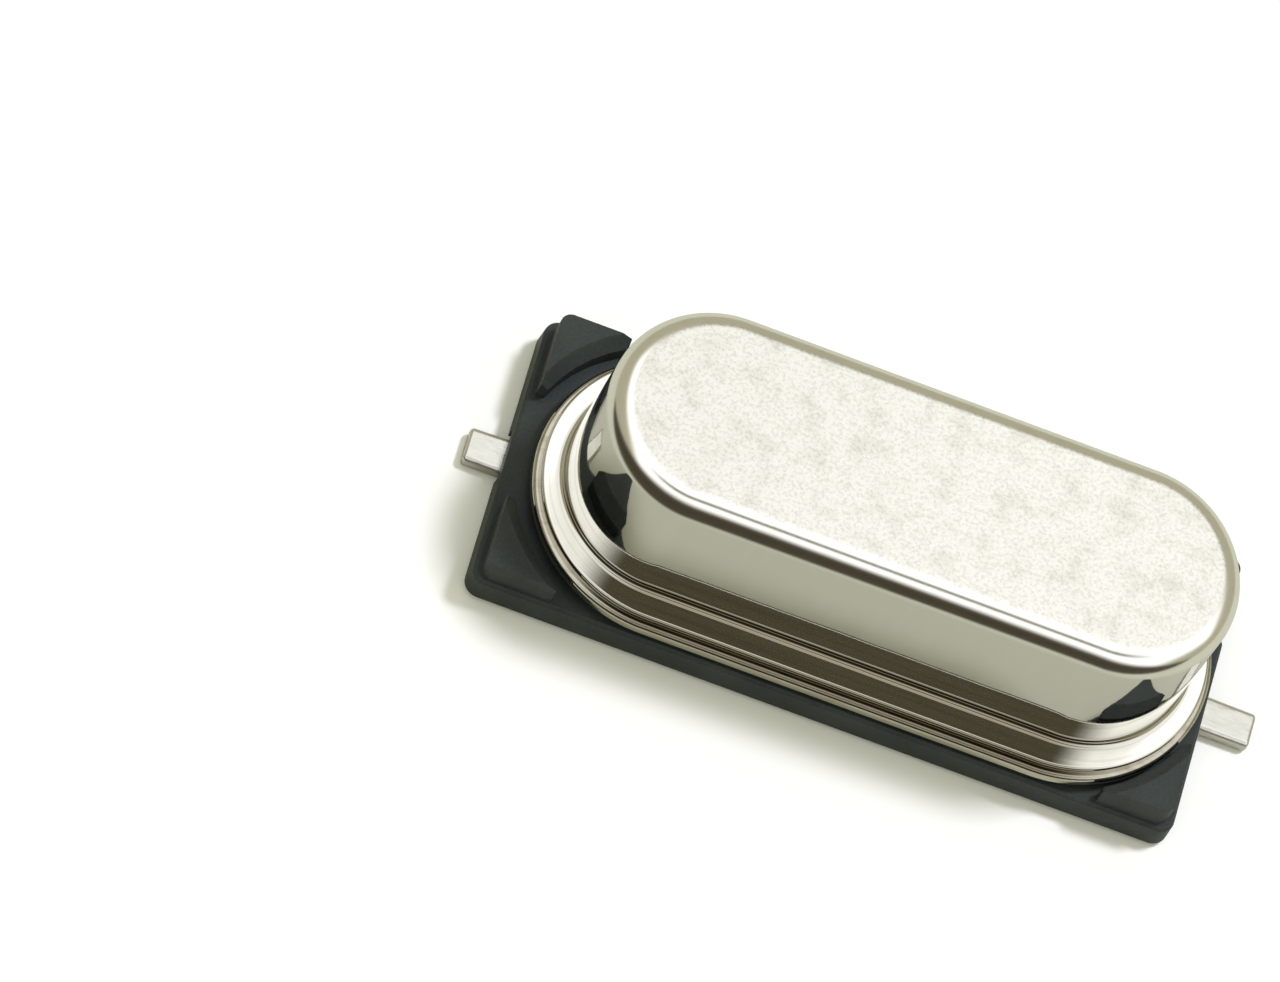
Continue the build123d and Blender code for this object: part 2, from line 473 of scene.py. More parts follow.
@dataclass(frozen=True)
class CanNickel(Finish):
    """Nickel plate on the drawn can: satin on the flat top, bright on the rounding, drawn on the wall,
    with painted shade on the wall and in the creases beside the weld.

    The first five fields are measures of the can. A span tells where its zone comes in: the flat's
    from the top, the side's from the rounding's lower end, the foot's from the outer end of the
    foot's round, and the others from the flange's upper face. Over the dull end's span of X, the
    top grows duller to the left.
    """

    name: ClassVar[str] = "can_nickel"
    top_level: float
    rounding: float
    ledge_level: float
    outline: Section
    foot_radius: float
    flat_span: Span = (-0.010, -0.001)
    side_span: Span = (0.114, -0.05)
    wall_span: Span = (0.02, 0.12)
    flange_span: Span = (0.12, 0.08)
    foot_span: Span = (0.004, -0.008)
    rim_span: Span = (-0.0003, -0.002)
    colour: Colour = (0.90, 0.89, 0.85, 1.0)
    dull_colour: Colour = (0.62, 0.612, 0.568, 1.0)
    # Painted shade: the wall is the same nickel as the top, painted darker for its shade.
    wall_shade_colour: Colour = (0.71, 0.70, 0.65, 1.0)
    # Painted shade beside the weld, on the wall's foot and the flange's rim.
    weld_shade_colour: Colour = (0.27, 0.245, 0.18, 1.0)
    satin_roughness: float = 0.32
    bright_roughness: float = 0.19
    drawn_roughness: float = 0.040
    wear_roughness: float = 0.06
    pit_polish: float = 0.05
    pit_dulling: float = 0.6
    wear_dulling: float = 0.25
    end_dulling: float = 0.16
    dull_end: Span = (2.0, -5.0)
    bright_dulling: float = 0.15
    ring_dulling: float = 0.6
    # How far the wall is painted darker as shade; the die marks add to it.
    wall_shade_tint: float = 0.8
    mark_tint: float = 0.4
    # Painted shade beside the weld: full along the straight sides, faint round the ends.
    weld_shade: WeldShade = WeldShade()
    grain: Pattern = Pattern(17.0, rough=0.65, shows=(0.36, 0.56), depth=0.0022)
    blotches: Pattern = Pattern(2.2, shows=(0.45, 0.72))
    die_marks: Pattern = Pattern(stretch=(5.0, 5.0, 0.6), roughens=0.03, depth=0.0010)
    press_rings: Pattern = Pattern(detail=3.0, stretch=(13.0, 0.25, 13.0), shows=(0.4, 0.75), depth=0.0009)
    waves: Pattern = Pattern(0.8, detail=1.0, rough=0.5, depth=0.0035)

    def _zones(self, graph: Graph, place: Wire) -> CanZones:
        """Tells the zones apart by height and by distance from the can's centre line.

        Args:
            graph: graph of the material.
            place: place on the part.

        Returns:
            The masks of the zones.
        """
        height = graph.along(place, Axis.Z)
        outward = graph.outward(place, self.outline.spread_x)
        side = graph.step_from(height, self.top_level - self.rounding, self.side_span)
        flange = graph.step_from(height, self.ledge_level, self.flange_span)
        foot = graph.step_from(outward, self.outline.radius + self.foot_radius, self.foot_span)
        rim = graph.step_from(height, self.ledge_level, self.rim_span)
        return CanZones(
            flat=graph.step_from(height, self.top_level, self.flat_span),
            side=side,
            wall=side * graph.step_from(height, self.ledge_level, self.wall_span),
            flange=flange,
            welded=flange * foot + rim,
        )

    def _rings(self, graph: Graph, place: Wire) -> Wire:
        """Adds the press rings, which run round the can at one distance from its centre line.

        Args:
            graph: graph of the material.
            place: place on the part.

        Returns:
            The height of the rings.
        """
        coordinates = {
            0: graph.outward(place, self.outline.spread_x),
            1: graph.along(place, Axis.X),
            2: graph.along(place, Axis.Z),
        }
        return graph.noise(graph.add("ShaderNodeCombineXYZ", inputs=coordinates), self.press_rings)

    def inputs(self, graph: Graph) -> dict[str, Operand]:
        """Adds the nodes of the finish.

        Args:
            graph: graph of the material.

        Returns:
            Value or wire for each input of the shader.
        """
        place = graph.place()
        zones = self._zones(graph, place)
        rings = self._rings(graph, place)
        grain = graph.noise(place, self.grain)
        marks = graph.noise(place, self.die_marks)
        pits = graph.step(grain, *self.grain.shows, 1.0, 0.0)
        worn = graph.step(graph.noise(place, self.blotches), *self.blotches.shows)
        left = graph.step(graph.along(place, Axis.X), *self.dull_end)
        satin = pits * self.pit_dulling + worn * self.wear_dulling + left * self.end_dulling
        dull = zones.flat * satin + (1 - zones.flat) * worn * self.bright_dulling
        plated = graph.blend(dull, self.colour, self.dull_colour)
        ringed = zones.flange * graph.step(rings, *self.press_rings.shows) * self.ring_dulling
        pressed = graph.blend(ringed, plated, self.dull_colour)
        # Painted shade on the wall, broken up by the die marks.
        drawn = zones.wall * (self.wall_shade_tint + marks * self.mark_tint)
        colour_before_weld_shade = graph.blend(drawn, pressed, self.wall_shade_colour)
        # Painted shade in the creases beside the weld.
        weld_shade = zones.welded * self.weld_shade.strength(graph, place)
        satin_change = self.satin_roughness - self.bright_roughness
        drawn_change = self.drawn_roughness - self.bright_roughness
        roughness = (
            self.bright_roughness
            + zones.flat * (satin_change + worn * self.wear_roughness - pits * self.pit_polish)
            + zones.side * (drawn_change + marks.swing(self.die_marks.roughens))
        )
        relief = graph.bump(graph.noise(place, self.waves), self.waves.depth)
        relief = graph.bump(marks * zones.wall, self.die_marks.depth, relief)
        relief = graph.bump(rings * zones.flange, self.press_rings.depth, relief)
        relief = graph.bump(grain * zones.flat, self.grain.depth, relief)
        return {
            "Base Color": graph.blend(weld_shade, colour_before_weld_shade, self.weld_shade_colour),
            "Roughness": roughness,
            "Metallic": 1.0,
            "Normal": relief,
        }


@dataclass(frozen=True)
class BaseNickel(Finish):
    """Bright nickel plate on the stamped base, with faint streaks and painted shade along the weld, where
    the cover's flange sits on it.

    The span of the painted shade is measured from the height of the weld.
    """

    name: ClassVar[str] = "base_nickel"
    weld_level: float
    # Painted shade beside the weld, measured from the weld's height.
    weld_shade_span: Span = (-0.055, -0.02)
    colour: Colour = (0.66, 0.63, 0.55, 1.0)
    dull_colour: Colour = (0.46, 0.425, 0.34, 1.0)
    # Painted shade beside the weld.
    weld_shade_colour: Colour = (0.20, 0.175, 0.13, 1.0)
    roughness: float = 0.12
    weld_shade: WeldShade = WeldShade()
    streaks: Pattern = Pattern(stretch=(0.8, 6.0, 9.0), shows=(0.45, 0.75), roughens=0.08, depth=0.0015)
    clouds: Pattern = Pattern(2.2, detail=3.0, rough=0.5, roughens=0.16)

    def inputs(self, graph: Graph) -> dict[str, Operand]:
        """Adds the nodes of the finish.

        Args:
            graph: graph of the material.

        Returns:
            Value or wire for each input of the shader.
        """
        place = graph.place()
        streak = graph.noise(place, self.streaks)
        cloud = graph.noise(place, self.clouds)
        plated = graph.blend(graph.step(streak, *self.streaks.shows), self.colour, self.dull_colour)
        # Painted shade along the weld, where the cover's flange sits on the base.
        weld = graph.step_from(graph.along(place, Axis.Z), self.weld_level, self.weld_shade_span)
        weld_shade = weld * self.weld_shade.strength(graph, place)
        clouded = self.roughness + cloud.swing(self.clouds.roughens)
        return {
            "Base Color": graph.blend(weld_shade, plated, self.weld_shade_colour),
            "Roughness": clouded + streak.swing(self.streaks.roughens),
            "Metallic": 1.0,
            "Normal": graph.bump(streak, self.streaks.depth),
        }


@dataclass(frozen=True)
class BlackMoulding(Finish):
    """Charcoal moulding with the fine spark-eroded skin of its mould."""

    name: ClassVar[str] = "black_moulding"
    colour: Colour = (0.026, 0.032, 0.031, 1.0)
    worn_colour: Colour = (0.043, 0.051, 0.049, 1.0)
    roughness: float = 0.42
    shine: float = 0.2
    flow: Pattern = Pattern(1.3, rough=0.5, shows=(0.35, 0.7), roughens=0.25, depth=0.010)
    flow_wear: float = 0.6
    skin: Pattern = Pattern(20.0, detail=3.0, shows=(0.35, 0.65), roughens=0.1, depth=0.0028)
    skin_wear: float = 0.4

    def inputs(self, graph: Graph) -> dict[str, Operand]:
        """Adds the nodes of the finish.

        Args:
            graph: graph of the material.

        Returns:
            Value or wire for each input of the shader.
        """
        place = graph.place()
        skin = graph.noise(place, self.skin)
        flow = graph.noise(place, self.flow)
        flow_worn = graph.step(flow, *self.flow.shows) * self.flow_wear
        skin_worn = graph.step(skin, *self.skin.shows) * self.skin_wear
        flowed = graph.bump(flow, self.flow.depth)
        return {
            "Base Color": graph.blend(flow_worn + skin_worn, self.colour, self.worn_colour),
            "Roughness": self.roughness + flow.swing(self.flow.roughens) + skin.swing(self.skin.roughens),
            "Specular IOR Level": self.shine,
            "Normal": graph.bump(skin, self.skin.depth, flowed),
        }


@dataclass(frozen=True)
class TinnedWire(Finish):
    """Tin plate on the leads, dented and scuffed where the wire was bent and pressed flat."""

    name: ClassVar[str] = "tinned_wire"
    colour: Colour = (0.72, 0.72, 0.68, 1.0)
    scuff_colour: Colour = (0.45, 0.44, 0.40, 1.0)
    roughness: float = 0.30
    scuffs: Pattern = Pattern(
        detail=5.0, rough=0.65, stretch=(1.1, 7.0, 7.0), shows=(0.55, 0.75), roughens=0.14, depth=0.004
    )
    scuff_tint: float = 0.7
    dents: Pattern = Pattern(3.2, detail=3.0, rough=0.5, roughens=0.12, depth=0.012)

    def inputs(self, graph: Graph) -> dict[str, Operand]:
        """Adds the nodes of the finish.

        Args:
            graph: graph of the material.

        Returns:
            Value or wire for each input of the shader.
        """
        place = graph.place()
        scuff = graph.noise(place, self.scuffs)
        dent = graph.noise(place, self.dents)
        worn = graph.step(scuff, *self.scuffs.shows)
        dented = graph.bump(dent, self.dents.depth)
        return {
            "Base Color": graph.blend(worn * self.scuff_tint, self.colour, self.scuff_colour),
            "Roughness": self.roughness + worn * self.scuffs.roughens + dent.swing(self.dents.roughens),
            "Metallic": 1.0,
            "Normal": graph.bump(scuff, self.scuffs.depth, dented),
        }


@dataclass(frozen=True)
class GrainyFinish(Finish):
    """Finish of a piece inside the can: one colour that a fine grain breaks up."""

    name: str
    colour: Colour
    grain_colour: Colour
    roughness: float
    grain: Pattern
    metallic: float = 0.0
    transmission: float = 0.0

    def inputs(self, graph: Graph) -> dict[str, Operand]:
        """Adds the nodes of the finish.

        Args:
            graph: graph of the material.

        Returns:
            Value or wire for each input of the shader.
        """
        grain = graph.noise(graph.place(), self.grain)
        shown = graph.step(grain, *self.grain.shows)
        return {
            "Base Color": graph.blend(shown, self.colour, self.grain_colour),
            "Roughness": self.roughness + grain.swing(self.grain.roughens),
            "Metallic": self.metallic,
            "Transmission Weight": self.transmission,
            "Normal": graph.bump(grain, self.grain.depth),
        }


SEAL_GLASS = GrainyFinish(
    "seal_glass", (0.05, 0.09, 0.075, 1.0), (0.09, 0.14, 0.12, 1.0), 0.12, Pattern(5.0), transmission=0.35
)
CLIP_STEEL = GrainyFinish(
    "clip_steel",
    (0.62, 0.61, 0.58, 1.0),
    (0.50, 0.49, 0.46, 1.0),
    0.30,
    Pattern(stretch=(1.5, 30.0, 4.0)),
    metallic=1.0,
)
QUARTZ = GrainyFinish(
    "quartz", (0.88, 0.90, 0.91, 1.0), (0.80, 0.83, 0.84, 1.0), 0.42, Pattern(14.0), transmission=0.8
)
SILVER_FILM = GrainyFinish(
    "silver_film", (0.88, 0.87, 0.84, 1.0), (0.80, 0.79, 0.75, 1.0), 0.20, Pattern(6.0), metallic=1.0
)
SILVER_CEMENT = GrainyFinish(
    "silver_cement", (0.50, 0.49, 0.46, 1.0), (0.34, 0.33, 0.31, 1.0), 0.62, Pattern(18.0), metallic=0.4
)


def dress(node: str, material: bpy.types.Material) -> None:
    """Gives a CAD node its finish.

    Args:
        node: name of the node.
        material: its finish.
    """
    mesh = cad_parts[node].data
    mesh.materials.clear()
    mesh.materials.append(material)
    log.info("dressed %s in %s", node, material.name)


class Form:
    """Piece that is shaped in edit mode, smoothed, and put in its node's place."""

    def __init__(self, name: str) -> None:
        """Starts an empty piece in edit mode, at the origin.

        Args:
            name: name of the piece.
        """
        bpy.ops.object.select_all(action="DESELECT")
        bpy.ops.object.add(type="MESH")
        self.piece = bpy.context.object
        self.piece.name = name
        bpy.ops.object.mode_set(mode="EDIT")
        bpy.ops.mesh.select_mode(type="VERT")

    def adopt(self, node: str) -> None:
        """Takes on a copy of a CAD node's mesh.

        Args:
            node: name of the node.
        """
        bpy.ops.object.mode_set(mode="OBJECT")
        self.piece.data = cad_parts[node].data.copy()
        bpy.ops.object.mode_set(mode="EDIT")

    def select(self, wanted: Callable[[bmesh.types.BMVert], bool]) -> None:
        """Selects the vertices that a test picks, with the edges and faces between them.

        Args:
            wanted: the test.
        """
        mesh = bmesh.from_edit_mesh(self.piece.data)
        mesh.verts.index_update()
        for vertex in mesh.verts:
            vertex.select_set(wanted(vertex))
        mesh.select_flush_mode()
        bmesh.update_edit_mesh(self.piece.data)

    def soften(self, wanted: Callable[[bmesh.types.BMVert], bool], radius: float, segments: int) -> None:
        """Rounds the edges between the vertices that a test picks.

        Args:
            wanted: the test.
            radius: radius of the round.
            segments: steps across it.
        """
        self.select(wanted)
        bpy.ops.mesh.bevel(
            offset=radius * MM, offset_type="OFFSET", segments=segments, profile=0.5, affect="EDGES"
        )

    def combine(
        self, operation: Boolean, radius: float, centre: Point, depth: float, sides: int
    ) -> None:
        """Adds or cuts an upright cylinder.

        Args:
            operation: whether it is added or cut.
            radius: radius of the cylinder.
            centre: its middle.
            depth: its height.
            sides: number of its flat sides.
        """
        bpy.ops.object.select_all(action="DESELECT")
        bpy.ops.mesh.primitive_cylinder_add(
            vertices=sides, radius=radius * MM, depth=depth * MM, location=Vector(centre) * MM
        )
        cutter = bpy.context.object
        bpy.context.view_layer.objects.active = self.piece
        bpy.ops.object.modifier_add(type="BOOLEAN")
        boolean = self.piece.modifiers[-1]
        boolean.operation = operation.value
        boolean.object = cutter
        bpy.ops.object.modifier_apply(modifier=boolean.name)
        bpy.data.objects.remove(cutter)

    def leave(self) -> None:
        """Turns all faces outwards and leaves edit mode."""
        bpy.ops.mesh.select_all(action="SELECT")
        bpy.ops.mesh.normals_make_consistent(inside=False)
        bpy.ops.object.mode_set(mode="OBJECT")

    def smooth(self, angle: float = 35.0) -> None:
        """Smooths the rounds and keeps the broad faces flat.

        The modifier passes over faces as small as this part's, so the piece is a thousand times
        as large while it works.

        Args:
            angle: edges sharper than this stay sharp, in degrees.
        """
        bpy.ops.object.select_all(action="DESELECT")
        self.piece.select_set(True)
        bpy.context.view_layer.objects.active = self.piece
        bpy.ops.object.shade_smooth_by_angle(angle=math.radians(angle))
        self._resize(1 / MM)
        bpy.ops.object.modifier_add(type="WEIGHTED_NORMAL")
        weighted = self.piece.modifiers[-1]
        weighted.keep_sharp = True
        bpy.ops.object.modifier_apply(modifier=weighted.name)
        self._resize(MM)

    def _resize(self, factor: float) -> None:
        """Makes the selected piece's mesh larger or smaller about the origin."""
        self.piece.scale = (factor, factor, factor)
        bpy.ops.object.transform_apply(location=False, rotation=False, scale=True)

    def hand_over(self, node: str, slot: str, material: bpy.types.Material) -> None:
        """Puts the finished piece in its node's place.

        Args:
            node: the node that the piece stands for.
            slot: material slot of the node, not used.
            material: finish of the piece.
        """
        self.piece.data.name = self.piece.name
        self.piece.data.materials.clear()
        self.piece.data.materials.append(material)
        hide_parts(node)
        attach(self.piece, BODY)
        log.info("modelled %s for %s: %d faces", self.piece.name, node, len(self.piece.data.polygons))


class RingForm(Form):
    """Form made of level or tilted rings of vertices, each joined to the one before."""

    def __init__(self, name: str, sides: int) -> None:
        """Starts a form with no rings.

        Args:
            name: name of the piece.
            sides: vertices in each ring, a multiple of four.
        """
        super().__init__(name)
        self.sides = sides
        self.count = 0

    def ring(self, section: Section, centre: Point, tilt: float = 0.0) -> None:
        """Adds a ring of vertices, lifted so that it is joined untwisted, and lowers it into place.

        Args:
            section: outline of the ring.
            centre: its middle.
            tilt: its turn about the Y axis in radians, from level.
        """
        turn = Matrix.Rotation(tilt, 3, "Y")
        spin = turn @ Matrix.Rotation(math.pi / self.sides, 3, "Z")
        lift = turn @ Vector((0.0, 0.0, MM))
        middle = Vector(centre) * MM + lift
        radius = section.radius * MM
        bpy.ops.mesh.primitive_circle_add(
            vertices=self.sides, radius=radius, location=middle, rotation=spin.to_euler()
        )
        first = self.count
        self.count += self.sides
        for side_x, side_y in itertools.product((-1, 1), repeat=2):

            def in_quarter(vertex: bmesh.types.BMVert) -> bool:
                """Whether a vertex is in this quarter of the new ring."""
                own = turn.inverted() @ (vertex.co - middle)
                return vertex.index >= first and own.x * side_x > 0 and own.y * side_y > 0

            self.select(in_quarter)
            apart = Vector((side_x * section.spread_x, side_y * section.spread_y, 0.0))
            bpy.ops.transform.translate(value=turn @ apart * MM)
        if first:
            self.select(lambda vertex: vertex.index >= first - self.sides)
            bpy.ops.mesh.bridge_edge_loops()
        self.select(lambda vertex: vertex.index >= first)
        bpy.ops.transform.translate(value=-lift)

    def close(self) -> None:
        """Closes the first and the last ring with a face each."""
        for first in (0, self.count - self.sides):
            self.select(lambda vertex: first <= vertex.index < first + self.sides)
            bpy.ops.mesh.edge_face_add()

    def stack(self, levels: Iterable[tuple[Section, float]]) -> None:
        """Adds level rings and closes the form.

        Args:
            levels: outline and height of each ring.
        """
        for section, level in levels:
            self.ring(section, (0.0, 0.0, level))
        self.close()

    def soften_rim(self, section: Section, level: float, radius: float, segments: int) -> None:
        """Rounds a level rim.

        Args:
            section: outline of the rim.
            level: height of the rim.
            radius: radius of the round.
            segments: steps across it.
        """

        def on_rim(vertex: bmesh.types.BMVert) -> bool:
            """Whether a vertex is on the rim."""
            return abs(vertex.co.z / MM - level) < NEAR and section.passes(vertex)

        self.soften(on_rim, radius, segments)


@dataclass
class MetalCan:
    """Drawn cover and stamped base, welded together round their flanges."""

    length: float = 10.2
    width: float = 3.55
    wall: float = 0.18
    top_thickness: float = 0.2
    top_radius: float = 0.38
    top_steps: int = 14
    inner_chamfer: float = 0.22
    foot_radius: float = 0.1
    foot_steps: int = 7
    rim_end: float = 0.33
    rim_side: float = 0.475
    rim_thickness: float = 0.17
    rim_round: float = 0.05
    rim_steps: int = 5
    base_rim: float = 0.1
    base_round: float = 0.08
    base_upper_steps: int = 6
    base_lower_steps: int = 4
    base_thickness: float = 0.26
    pan_depth: float = 0.12
    pan_clearance: float = 0.15
    pan_chamfer: float = 0.08
    lead_x: float = LEAD_X
    seal_radius: float = 0.625
    eyelet_wall: float = 0.2
    eyelet_sides: int = 64
    sides: int = 144

    def __post_init__(self) -> None:
        """Works out the outlines and levels."""
        self.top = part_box("cover")[1].z / MM
        self.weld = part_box("cover")[0].z / MM
        self.pan_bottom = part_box("base_header")[0].z / MM
        self.eyelet_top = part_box("base_header")[1].z / MM
        self.outside = Section.obround(self.length, self.width)
        self.rim = Section.obround(self.length + 2 * self.rim_end, self.width + 2 * self.rim_side)

    def build(self) -> None:
        """Models the cover and the base."""
        self._cover()
        self._base()

    def _cover(self) -> None:
        """Models the drawn cover, hollow, with its weld flange."""
        ledge = self.weld + self.rim_thickness
        ceiling = self.top - self.top_thickness
        inside = self.outside.grown(-self.wall)
        levels = (
            (self.outside, self.top),
            (self.outside, ledge),
            (self.rim, ledge),
            (self.rim, self.weld),
            (inside, self.weld),
            (inside, ceiling - self.inner_chamfer),
            (inside.grown(-self.inner_chamfer), ceiling),
        )
        form = RingForm("can_cover", self.sides)
        form.stack(levels)
        form.soften_rim(self.outside, self.top, self.top_radius, self.top_steps)
        form.soften_rim(self.outside, ledge, self.foot_radius, self.foot_steps)
        form.soften_rim(self.rim, ledge, self.rim_round, self.rim_steps)
        form.leave()
        form.smooth()
        nickel = CanNickel(self.top, self.top_radius, ledge, self.outside, self.foot_radius)
        form.hand_over("cover", "can_nickel", nickel.material())

    def _base(self) -> None:
        """Models the stamped base: flange, pan and two eyelets."""
        flange = self.rim.grown(self.base_rim)
        flange_bottom = self.pan_bottom + self.pan_depth
        pan = self.outside.grown(-self.wall - self.pan_clearance)
        pan_top = self.pan_bottom + self.base_thickness
        hollow = pan.grown(-self.base_thickness)
        levels = (
            (pan.grown(-self.pan_chamfer), self.pan_bottom),
            (pan, self.pan_bottom + self.pan_chamfer),
            (pan, flange_bottom),
            (flange, flange_bottom),
            (flange, self.weld),
            (hollow, self.weld),
            (hollow, pan_top),
        )
        form = RingForm("can_base", self.sides)
        form.stack(levels)
        form.soften_rim(flange, self.weld, self.base_round, self.base_upper_steps)
        form.soften_rim(flange, flange_bottom, self.base_round, self.base_lower_steps)
        form.leave()
        height = self.eyelet_top - self.pan_bottom
        sleeve = height - self.base_thickness / 2
        eyelet_radius = self.seal_radius + self.eyelet_wall
        for x in (-self.lead_x, self.lead_x):
            middle = (x, 0.0, self.eyelet_top - sleeve / 2)
            form.combine(Boolean.ADD, eyelet_radius, middle, sleeve, self.eyelet_sides)
            bore = (x, 0.0, self.pan_bottom + height / 2)
            form.combine(Boolean.CUT, self.seal_radius, bore, 2 * height, self.eyelet_sides)
        form.smooth()
        form.hand_over("base_header", "base_nickel", BaseNickel(self.weld).material())


@dataclass
class Insulator:
    """Moulded plate that the can stands in.

    Attributes:
        edge_round: width of the rounds that the mould leaves.
        edge_steps: steps across a round.
        joined: distance under which vertices are made one.
        flat_angle: angle under which two faces are one flat face.
        sharp_angle: angle past which an edge is rounded and shows as an edge.
    """

    edge_round: float = 0.022
    edge_steps: int = 2
    joined: float = 0.0001
    flat_angle: float = 0.5
    sharp_angle: float = 30.0

    def build(self) -> None:
        """Rounds the edges of the plate's CAD form as the mould leaves them."""
        form = Form("moulded_plate")
        form.adopt("insulator_plate")
        bpy.ops.mesh.select_all(action="SELECT")
        bpy.ops.mesh.remove_doubles(threshold=self.joined * MM)
        bpy.ops.mesh.dissolve_limited(angle_limit=math.radians(self.flat_angle))
        form.leave()
        bpy.ops.mesh.customdata_custom_splitnormals_clear()
        bpy.ops.object.modifier_add(type="BEVEL")
        bevel = form.piece.modifiers[-1]
        bevel.width = self.edge_round * MM
        bevel.segments = self.edge_steps
        bevel.limit_method = "ANGLE"
        bevel.angle_limit = math.radians(self.sharp_angle)
        bpy.ops.object.modifier_apply(modifier=bevel.name)
        form.smooth(self.sharp_angle)
        form.hand_over("insulator_plate", "black_moulding", BlackMoulding().material())


@dataclass
class Terminals:
    """Leads, pressed flat into solder feet, and the glass that seals them in the base."""

    lead_x: float = LEAD_X
    wire_radius: float = 0.215
    bend_radius: float = 0.35
    bend_steps: int = 10
    run_in: float = 0.2
    foot_width: float = 0.62
    foot_thickness: float = 0.3
    foot_round: float = 0.1
    taper: float = 1.24
    tip_width: float = 0.60
    tip_thickness: float = 0.275
    tip_round: float = 0.06
    tip_steps: int = 5
    sharp_angle: float = 50.0
    sides: int = 40
    tin: TinnedWire = TinnedWire()
    seal: GrainyFinish = SEAL_GLASS

    def build(self) -> None:
        """Models both leads and dresses both seals."""
        tin = self.tin.material()
        seal = self.seal.material()
        for end in End:
            self._lead(end, tin)
            dress(f"glass_seal_{end.value}", seal)

    def _lead(self, end: End, tin: bpy.types.Material) -> None:
        """Models one lead: straight wire, bend and foot, each ring turned with the wire.

        Args:
            end: end of the part that the lead reaches to.
            tin: its finish.
        """
        node = f"lead_{end.value}"
        low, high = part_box(node)
        tip = max(abs(low.x), abs(high.x)) / MM
        wire = Section(self.wire_radius)
        form = RingForm(f"solder_{end.value}", self.sides)
        form.ring(wire, (end.sign * self.lead_x, 0.0, high.z / MM), math.pi)
        for step in range(self.bend_steps + 1):
            angle = math.pi / 2 * step / self.bend_steps
            x = self.lead_x + self.bend_radius * (1 - math.cos(angle))
            z = self.wire_radius + self.bend_radius * (1 - math.sin(angle))
            form.ring(wire, (end.sign * x, 0.0, z), math.pi - end.sign * angle)
        flat_start = self.lead_x + self.bend_radius + self.run_in
        foot = (
            (flat_start, self.foot_width, self.foot_thickness),
            ((flat_start + tip) / 2, self.foot_width, self.foot_thickness),
            (tip - self.taper, self.foot_width, self.foot_thickness),
            (tip, self.tip_width, self.tip_thickness),
        )
        for x, width, thickness in foot:
            section = Section.rounded(thickness, width, self.foot_round)
            form.ring(section, (end.sign * x, 0.0, thickness / 2), math.pi - end.sign * math.pi / 2)
        form.close()
        form.soften(lambda vertex: abs(vertex.co.x) / MM > tip - NEAR, self.tip_round, self.tip_steps)
        form.leave()
        form.smooth(self.sharp_angle)
        form.hand_over(node, "tinned_wire", tin)


@dataclass
class Resonator:
    """Quartz blank with its silver films, on the clips that carry it."""

    blank: GrainyFinish = QUARTZ
    film: GrainyFinish = SILVER_FILM
    clip: GrainyFinish = CLIP_STEEL
    cement: GrainyFinish = SILVER_CEMENT

    def build(self) -> None:
        """Dresses the pieces sealed inside the can."""
        dress("quartz_blank", self.blank.material())
        film = self.film.material()
        for face in ("top", "bottom"):
            dress(f"electrode_{face}", film)
        clip = self.clip.material()
        cement = self.cement.material()
        for end in End:
            dress(f"mounting_clip_{end.value}", clip)
            dress(f"adhesive_{end.value}", cement)


@dataclass(frozen=True)
class Viewpoint:
    """Camera that looks down on the part, rolled so that the can slopes across the picture.

    The clip is a pair of shares of the camera's distance.
    """

    azimuth: float = -14.22
    elevation: float = 61.29
    roll: float = 32.71
    distance: float = 194.0
    aim: Point = (-3.65, 0.53, -0.29)
    lens: float = 353.9
    sensor: float = 36.0
    clip: Span = (0.1, 50.0)

    def back(self) -> Vector:
        """Direction from the part to the camera."""
        return direction(self.azimuth, self.elevation)

    def ahead(self) -> Vector:
        """Level direction in which the camera looks."""
        return -direction(self.azimuth)

    def across(self) -> Vector:
        """Level direction to the camera's right, before it is rolled."""
        return direction(self.azimuth + 90.0)

    def build(self) -> None:
        """Makes the camera."""
        lens = bpy.data.cameras.new("camera")
        lens.lens = self.lens
        lens.sensor_width = self.sensor
        lens.sensor_fit = "HORIZONTAL"
        lens.clip_start, lens.clip_end = (share * self.distance * MM for share in self.clip)
        camera = bpy.data.objects.new("camera", lens)
        bpy.context.scene.collection.objects.link(camera)
        roll = Quaternion((0, 0, 1), math.radians(self.roll))
        camera.rotation_mode = "QUATERNION"
        camera.rotation_quaternion = (-self.back()).to_track_quat("-Z", "Y") @ roll
        camera.location = (Vector(self.aim) + self.back() * self.distance) * MM
        bpy.context.scene.camera = camera


